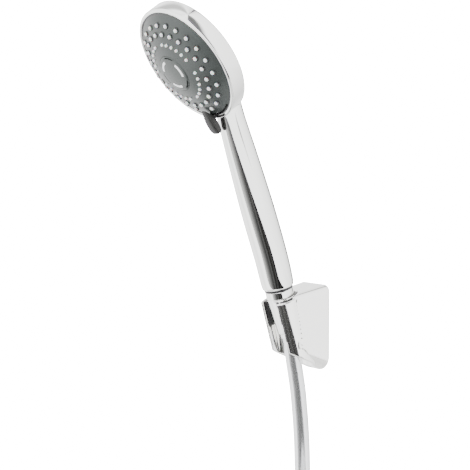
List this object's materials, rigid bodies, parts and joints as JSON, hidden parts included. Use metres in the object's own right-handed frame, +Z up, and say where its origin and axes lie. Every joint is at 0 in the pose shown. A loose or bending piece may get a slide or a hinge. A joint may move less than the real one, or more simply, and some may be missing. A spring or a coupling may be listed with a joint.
{
  "type": "handheld shower head",
  "caption": "Handheld shower head with a domed spray face and mode lever, docked in a slotted wall holder, with its smooth hose coiled below.",
  "frame": {"origin": "centre of the holder's face that lies on the wall", "axes": "+Y into the wall, -Y into the room, +Z up, X across the holder, whose plane of symmetry is x = 0"},
  "size_m": [0.204, 0.1659, 0.5604],
  "materials": {
    "chrome_holder": "bright satin chrome plate",
    "black_plastic": "black moulded plastic",
    "zinc_plate": "zinc plated steel",
    "screw_steel": "stainless steel",
    "chrome_shell": "mirror chrome plate",
    "face_grey": "dark grey satin moulded plastic",
    "lever_grey": "dark grey satin moulded plastic",
    "silicone": "translucent white silicone",
    "clear_bars": "frosted clear plastic",
    "inner_plastic": "light grey moulded plastic",
    "disc_plastic": "ivory acetal plastic",
    "seal_rubber": "black rubber",
    "regulator_blue": "blue moulded plastic",
    "ferrule_chrome": "polished chrome plated brass",
    "hose_silver": "smooth silver grey hose with a clear outer skin",
    "tie_plastic": "dark hook and loop strap"
  },
  "bodies": {
    "holder": {"holder_body": "chrome_holder", "clip_liner": "black_plastic", "wall_plate": "zinc_plate", "grub_screw": "screw_steel"},
    "hose": {"upper_ferrule": "ferrule_chrome", "hose_tube": "hose_silver", "hose_coil": "hose_silver", "coil_tie": "tie_plastic", "lower_ferrule": "ferrule_chrome"},
    "handset": {"handle_shell": "chrome_shell", "face_bezel": "chrome_shell", "face_plate": "face_grey", "outer_nozzle_mat": "silicone", "inner_nozzle_mat": "silicone", "centre_insert": "face_grey", "light_bars": "clear_bars", "jet_chamber": "inner_plastic", "chamber_screws": "screw_steel", "chamber_seal": "seal_rubber", "click_spring": "screw_steel", "valve_seat": "inner_plastic", "centre_axle": "screw_steel", "elbow_seal": "seal_rubber", "neck_elbow": "inner_plastic", "waterway_tube": "inner_plastic", "tail_connector": "inner_plastic", "inlet_filter": "screw_steel", "flow_regulator": "regulator_blue", "tail_washer": "seal_rubber", "cone_nut": "chrome_shell"},
    "selector": {"selector_disc": "disc_plastic", "mode_lever": "lever_grey"},
    "turbine": {"massage_turbine": "disc_plastic"},
    "supply": {"supply_nut": "ferrule_chrome", "supply_washer": "seal_rubber"}
  },
  "joints": [
    {"name": "lift_out", "type": "slide", "parent": "holder", "child": "hose", "axis": [0, -0.2672, 0.9636], "range_m": [0, 0.045]},
    {"name": "handset_turn", "type": "hinge", "parent": "hose", "child": "handset", "pos_m": [0, -0.03546, 0.01763], "axis": [0, -0.2672, 0.9636], "continuous": true},
    {"name": "mode_select", "type": "hinge", "parent": "handset", "child": "selector", "pos_m": [0, -0.13578, 0.22528], "axis": [0, -0.8221, -0.5693], "range_deg": [-28, 28]},
    {"name": "turbine_spin", "type": "hinge", "parent": "handset", "child": "turbine", "pos_m": [0, -0.13578, 0.22528], "axis": [0, -0.8221, -0.5693], "continuous": true},
    {"name": "supply_nut_turn", "type": "hinge", "parent": "hose", "child": "supply", "pos_m": [0, -0.0567, -0.267], "axis": [0, 0, 1], "continuous": true}
  ]
}
